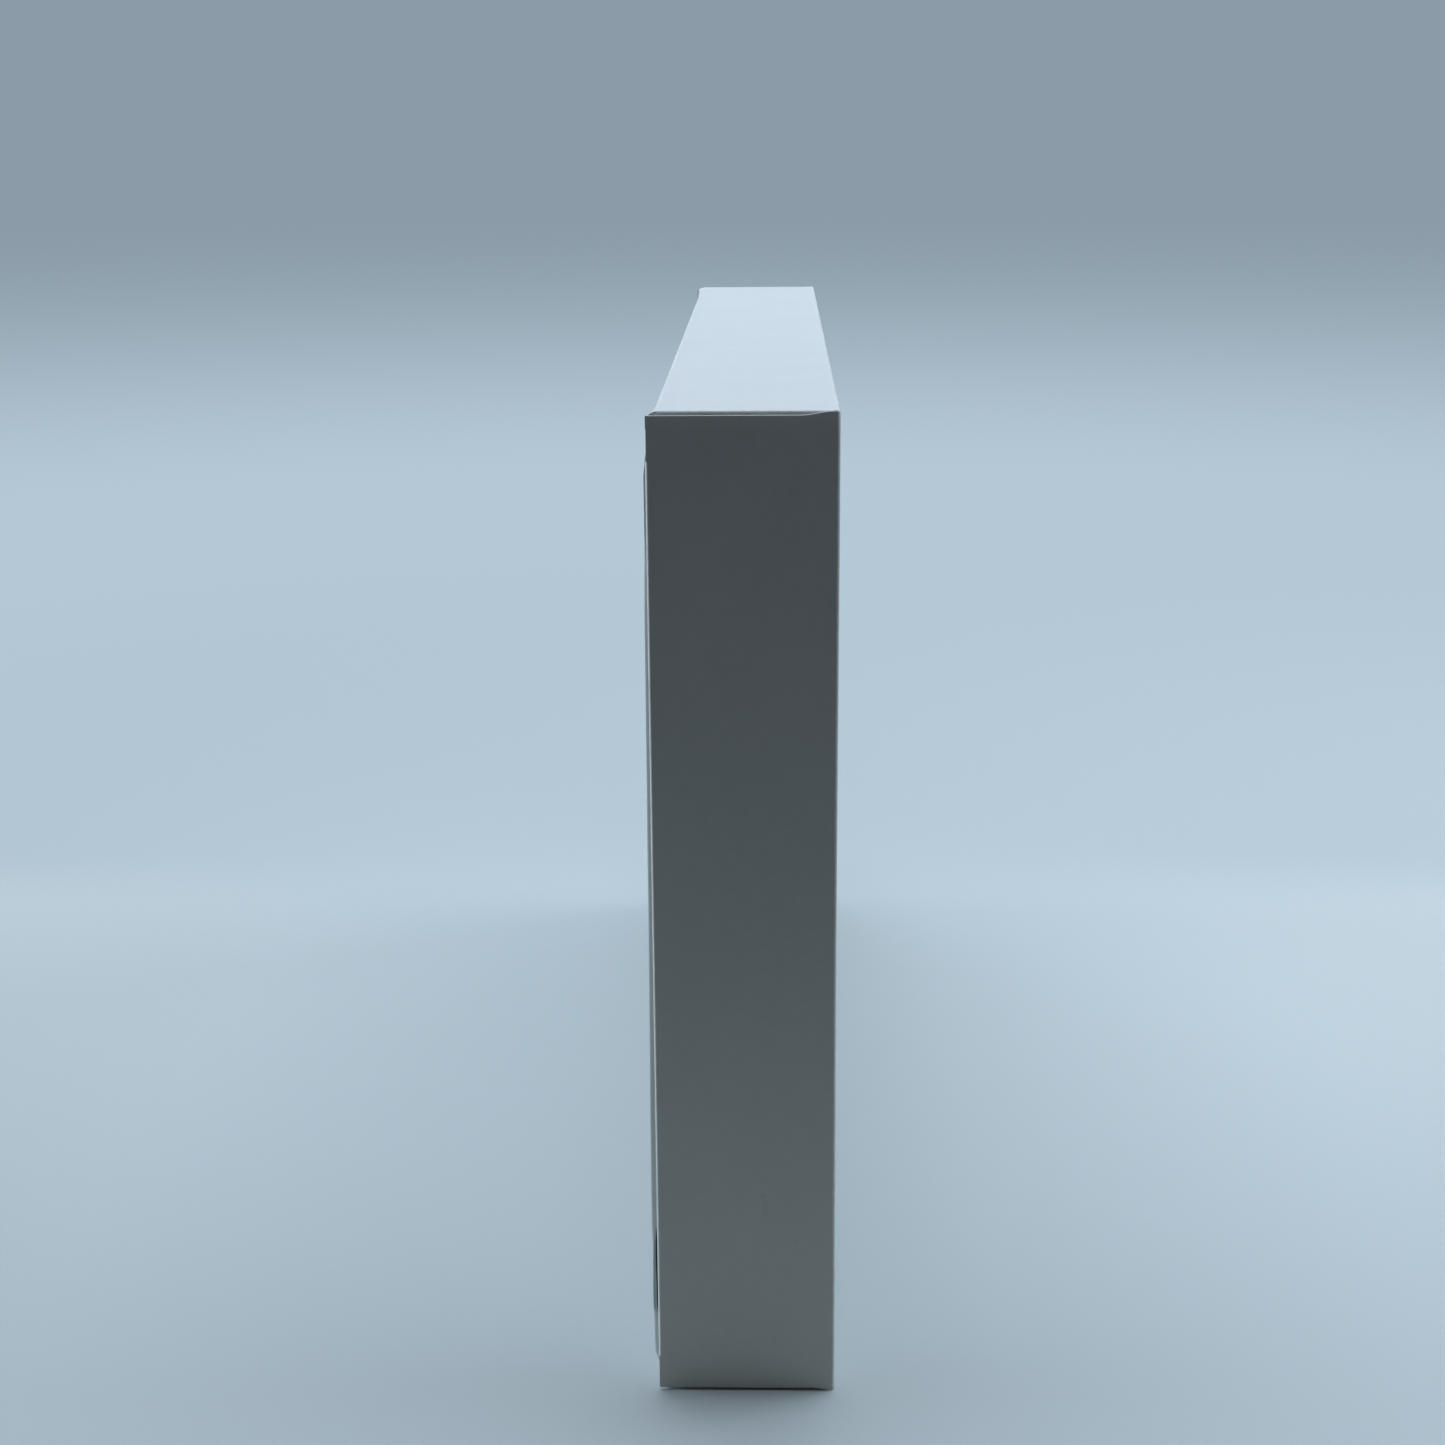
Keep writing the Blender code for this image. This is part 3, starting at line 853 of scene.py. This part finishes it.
def closure_outline(path):
    """From the hinge to the free edge, with the notch that the tuck flap grows from."""
    flat_from = SEAM + quarter
    free = path.length - NICK
    notch = notch_line(path)
    top = TUBE_TOP - CLOSURE_TOP_GAP
    bottom = CLOSURE_BOTTOM_GAP

    def flare(gap, start, stop):
        """How the cut draws in from the hinge to its gap further on."""
        for step in range(FLARE_STEPS + 1):
            share = step / FLARE_STEPS
            from_hinge = start + (stop - start) * share
            yield (flat_from + from_hinge - FOLD_RADIUS + BOARD / 2,
                   HINGE_GAP + (gap - HINGE_GAP) * smooth(share))

    upper = [(along, TUBE_TOP - gap, 0) for along, gap in flare(CLOSURE_TOP_GAP, *UPPER_FLARE)]
    lower = [(along, gap, 0) for along, gap in flare(CLOSURE_BOTTOM_GAP, *LOWER_FLARE)]
    return rounded(
        [(0, side_start, 0), (0, front_top, 0), (SEAM, front_top, 0),
         (SEAM, TUBE_TOP - FOLD_RADIUS, 0), (SEAM + quarter / 2, TUBE_TOP - HINGE_GAP, 0)]
        + upper
        + [(path.length, top, SHARP_CORNER), (path.length, top - NICK_LENGTH, 0),
           (free, top - NICK_LENGTH - SOFT_CORNER, 0),
           (free, top - SLIT_UPPER, SHARP_CORNER), (notch, top - SLIT_UPPER, 0),
           (notch, bottom + SLIT_LOWER, 0), (path.length, bottom + SLIT_LOWER, SHARP_CORNER),
           (path.length, bottom, SOFT_CORNER)]
        + lower[::-1]
        + [(SEAM + quarter / 2, HINGE_GAP, 0), (SEAM, FOLD_RADIUS, 0), (SEAM, side_start, 0)])


def fold_between(piece, path):
    """Bakes the piece's place into its mesh. The ends of its crease are worked out, but nothing
    uses them.
    """
    start, end = path.bends[0]
    path.place(start, 0, BOARD)
    path.place(end, 0, BOARD)
    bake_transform(piece)


for end, side in ENDS:
    hinge = FoldPath((BACK_X, side * half_back, 0), (0, side, 0), (-1, 0, 0), (0, 0, 1))
    hinge.flat(SEAM).bend(math.pi / 2, FOLD_RADIUS).flat(BACK_X - FOLD_RADIUS - CLOSURE_EDGE)
    closure = board_piece(end + "_closure_board", closure_outline(hinge), hinge,
                          joined=ends_at(("x", 0), ("x", notch_line(hinge))), shape=back_shape)
    fold_between(closure, hinge)
    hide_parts(end + "_closure_panel")


# ---------------------------------------------------------------- tuck flaps
# The flap creased to each closure's free edge, of the same board. It slides in behind the front
# panel and stays there by its own spring, and round corners let it find its way in.

TUCK_TURN = math.radians(110)                   # it is folded past square
TUCK_LENGTH = 11.6 * MM                         # flat board beyond the crease
TUCK_CORNER = 9 * MM                            # rounding of its two free corners

tuck_low, tuck_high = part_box("near_tuck_flap")


def tuck_outline(path):
    """From the crease, as long as the notch, to the round-cornered edge that slides in."""
    bottom = CLOSURE_BOTTOM_GAP + SLIT_LOWER
    top = TUBE_TOP - CLOSURE_TOP_GAP - SLIT_UPPER
    flat_from = path.bends[0][1]
    return rounded([(0, bottom, 0), (flat_from, bottom, 0),
                    (flat_from + (tuck_low.z - bottom) / 2, tuck_low.z, 0),
                    (path.length, tuck_low.z, TUCK_CORNER),
                    (path.length, tuck_high.z, TUCK_CORNER),
                    (flat_from + (top - tuck_high.z) / 2, tuck_high.z, 0),
                    (flat_from, top, 0), (0, top, 0)])


for end, side in ENDS:
    crease = FoldPath((TUCK_START_X, side * CLOSURE_FACE, 0), (-1, 0, 0), (0, -side, 0),
                      (0, 0, 1))
    crease.flat(TUCK_SEAM).bend(TUCK_TURN, TUCK_RADIUS).flat(TUCK_LENGTH)
    tuck = board_piece(end + "_tuck_board", tuck_outline(crease), crease,
                       joined=ends_at(("x", 0)))
    fold_between(tuck, crease)
    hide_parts(end + "_tuck_flap")


# ---------------------------------------------------------------- dust flaps
# Four short flaps of the same board, creased to the ends of the narrow sides and folded in
# behind the closures. Towards the tuck flap each is cut back below a shoulder, to let it pass.

DUST_RADIUS = 0.45 * MM                         # their creases are pressed sharper
DUST_EASE = 1.5 * MM                            # board over which a fold narrows to its flap
DUST_SHOULDER = 6.4 * MM                        # from the narrow side's outer face
DUST_SLANT = 2.4 * MM                           # from the shoulder to the cut-back side
DUST_CUT_X = -7.72 * MM                         # that side, clear of the tuck flap
DUST_NOOK = 0.4 * MM                            # rounding at both ends of the slant
DUST_CORNER = 4 * MM                            # and of the flap's free corners
DUST_TAPER = 1.5 * MM                           # the flap narrows towards its lower edge


def dust_outline(path):
    """From its crease to its lower edge."""
    flat_from = path.bends[0][1]
    shoulder = flat_from - DUST_RADIUS + DUST_SHOULDER
    return rounded([(0, dust_low.x - DUST_SPREAD, 0), (flat_from, dust_low.x - DUST_SPREAD, 0),
                    (flat_from + DUST_EASE, dust_low.x, 0), (shoulder, dust_low.x, DUST_NOOK),
                    (shoulder + DUST_SLANT, DUST_CUT_X, DUST_NOOK),
                    (path.length, DUST_CUT_X, DUST_CORNER),
                    (path.length, dust_high.x - DUST_TAPER, DUST_CORNER),
                    (flat_from, dust_high.x, 0), (0, dust_high.x, 0)])


for end, side in ENDS:
    for level, height, inward in (("upper", TUBE_TOP, -1), ("lower", 0, 1)):
        drop = FoldPath((0, side * DUST_SEAM, height), (0, side, 0), (0, 0, inward), (1, 0, 0))
        drop.flat(TUBE_END - DUST_RADIUS - DUST_SEAM).bend(math.pi / 2, DUST_RADIUS)
        drop.flat(dust_high.z - dust_low.z + BOARD / 2)
        name = f"{end}_{level}_dust"
        flap = board_piece(name + "_board", dust_outline(drop), drop, joined=ends_at(("x", 0)),
                           shape=front_shape if level == "upper" else None)
        fold_between(flap, drop)
        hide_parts(name + "_flap")


# ---------------------------------------------------------------- paper floor
# The pale seamless paper that the carton stands on, loose. It is matt with a faint fibre, and
# so wide that its far part stands for the backdrop too. Near the carton its colour is darker
# than at its sides, as painted shade, and its far part glows with painted light that darkens
# towards the backdrop.

FLOOR_SIZE = 240.0
FLOOR_DROP = 0.02 * MM                          # it lies just clear of the carton
FLOOR_PALE = (0.590, 0.645, 0.670)              # close to the carton: darker than at its sides, as painted shade
FLOOR_PAINTED_LIGHT = (0.682, 0.730, 0.745)              # painted light: paler to its left and right, beyond the carton's painted shade
FLOOR_FIBRE = (0.555, 0.606, 0.630)
FLOOR_BOUNCE = (0.405, 0.448, 0.425)            # what it gives back close to the carton
FAR_BOUNCE = (0.05, 0.055, 0.06)                # and further off
FLOOR_FAR = (0.462, 0.578, 0.668)               # painted glow of the far paper, before it darkens to the backdrop
BACKDROP = (0.258, 0.328, 0.392)
BLACK = (0.0, 0.0, 0.0)

PAINTED_SHADE_MIDDLE = -0.02                             # m across: middle of the carton's painted shade
PAINTED_SHADE_ACROSS = (0.0, 0.22)                       # m from that line: all painted shade, all painted light
PAINTED_SHADE_NEAR = (-0.15, 0.06)                       # m along the carton: the same
PAINTED_SHADE_BEYOND = (0.119, 0.171)                    # and the other way round again
BOUNCE_FADE = (0.12, 0.45)                      # m from the carton's middle: most bounce, least
BEYOND = (0.22, 0.70)                           # and all lit paper, all painted glow of the backdrop
EYE_AWAY = 0.48                                 # m from below the eye to the carton's middle
GLOW_FADE = (0.187, 0.748)                           # 1 / m from the eye: the painted glow is all BACKDROP, all FLOOR_FAR

floor_mesh = bpy.data.meshes.new("floor")
half_floor = FLOOR_SIZE / 2
floor_mesh.from_pydata([(-half_floor, -half_floor, 0), (half_floor, -half_floor, 0),
                        (half_floor, half_floor, 0), (-half_floor, half_floor, 0)],
                       [], [(0, 1, 2, 3)])
floor = bpy.data.objects.new("floor", floor_mesh)
floor.location.z = -FLOOR_DROP
bpy.context.scene.collection.objects.link(floor)


def looked_at(finish):
    """1 for what the eye gets, straight, reflected or through glass; 0 for light that falls."""
    straight, reflected, through = (
        finish.node("LightPath", {}, {}, output=f"Is {way} Ray")
        for way in ("Camera", "Glossy", "Transmission"))
    return straight + reflected + through


def floor_finish():
    """Matt seamless paper, darker near the carton as painted shade; further off it glows with
    painted light, darker with distance, out to where it meets the backdrop.

    It gives back less light than it shows, so that the shade at the carton's ends stays deep.
    """
    finish = Finish(bpy.data.materials.new("seamless_paper"), specular_ior_level=0.0,
                    roughness=0.9, emission_strength=1.0)
    place = finish.node("NewGeometry", {}, {}, output="Position")
    seen = looked_at(finish)
    away = finish.node("VectorMath", {"operation": "LENGTH"}, {0: place}, output="Value")
    fibre = finish.noise(place, 1.5 * MM, detail=3)
    across, along = (finish.node("SeparateXYZ", {}, {0: place}, output=part) for part in "XY")
    # painted shade: the paper's colour is darker near the carton than to its left and right
    painted_light_share = (abs(across - PAINTED_SHADE_MIDDLE).rising(*PAINTED_SHADE_ACROSS) * along.rising(*PAINTED_SHADE_NEAR)
                 * along.falling(*PAINTED_SHADE_BEYOND))
    shade_painted_floor = finish.blend(painted_light_share, FLOOR_PALE, FLOOR_PAINTED_LIGHT)
    pale = finish.blend(0.25 * fibre, shade_painted_floor, FLOOR_FIBRE)
    bounce = finish.blend(away.rising(*BOUNCE_FADE), FLOOR_BOUNCE, FAR_BOUNCE)
    # painted glow: far off, the paper shows no lit colour but glows, darker the further it is
    beyond = seen * away.rising(*BEYOND)
    glow_fade = (1 / (away + EYE_AWAY)).rising(*GLOW_FADE)
    painted_glow = finish.blend(glow_fade, BACKDROP, FLOOR_FAR)
    finish.set(base_color=finish.blend(beyond, finish.blend(seen, bounce, pale), BLACK),
               emission_color=finish.blend(beyond, BLACK, painted_glow),
               normal=finish.bump(fibre, 0.01 * MM))
    return finish.owner


floor_mesh.materials.append(floor_finish())


# ---------------------------------------------------------------- light
# A wide soft lamp above and behind the carton leaves its near end in shade, lit mostly by what
# the floor gives back. A narrow one lights the floor in front, and two weak panels the sides.

ROOM_LIGHT = (0.031, 0.026, 0.024)              # falls on everything from all round
LAMP_TINT = (0.775, 0.895, 1.0)


def lamp(name, place, target, size, watts):
    """A rectangular soft lamp that faces its target."""
    light = bpy.data.lights.new(name, "AREA")
    light.shape = "RECTANGLE"
    light.size, light.size_y = size
    light.energy = watts
    light.color = LAMP_TINT
    item = bpy.data.objects.new(name, light)
    item.visible_camera = False
    item.location = place
    item.rotation_euler = (Vector(target) - Vector(place)).to_track_quat("-Z", "Y").to_euler()
    bpy.context.scene.collection.objects.link(item)


lamp("overhead", place=(0, 0.48, 1.60), target=(0, 0.15, 0.1), size=(2.0, 1.4), watts=25.5)
lamp("front_top", place=(0, -0.17, 1.60), target=(0, -0.17, 0), size=(0.5, 0.06), watts=2)
lamp("left_panel", place=(-1.3, 0.12, 0.08), target=(0, 0, 0.08), size=(0.40, 0.10), watts=11.5)
lamp("right_panel", place=(1.1, 0.25, 0.55), target=(0, 0, 0.08), size=(0.7, 0.7), watts=6)

surroundings = Finish(bpy.data.worlds.new("studio"), shader="Background")
surroundings.set(color=surroundings.blend(looked_at(surroundings), ROOM_LIGHT, BACKDROP))
bpy.context.scene.world = surroundings.owner

bpy.context.view_layer.update()
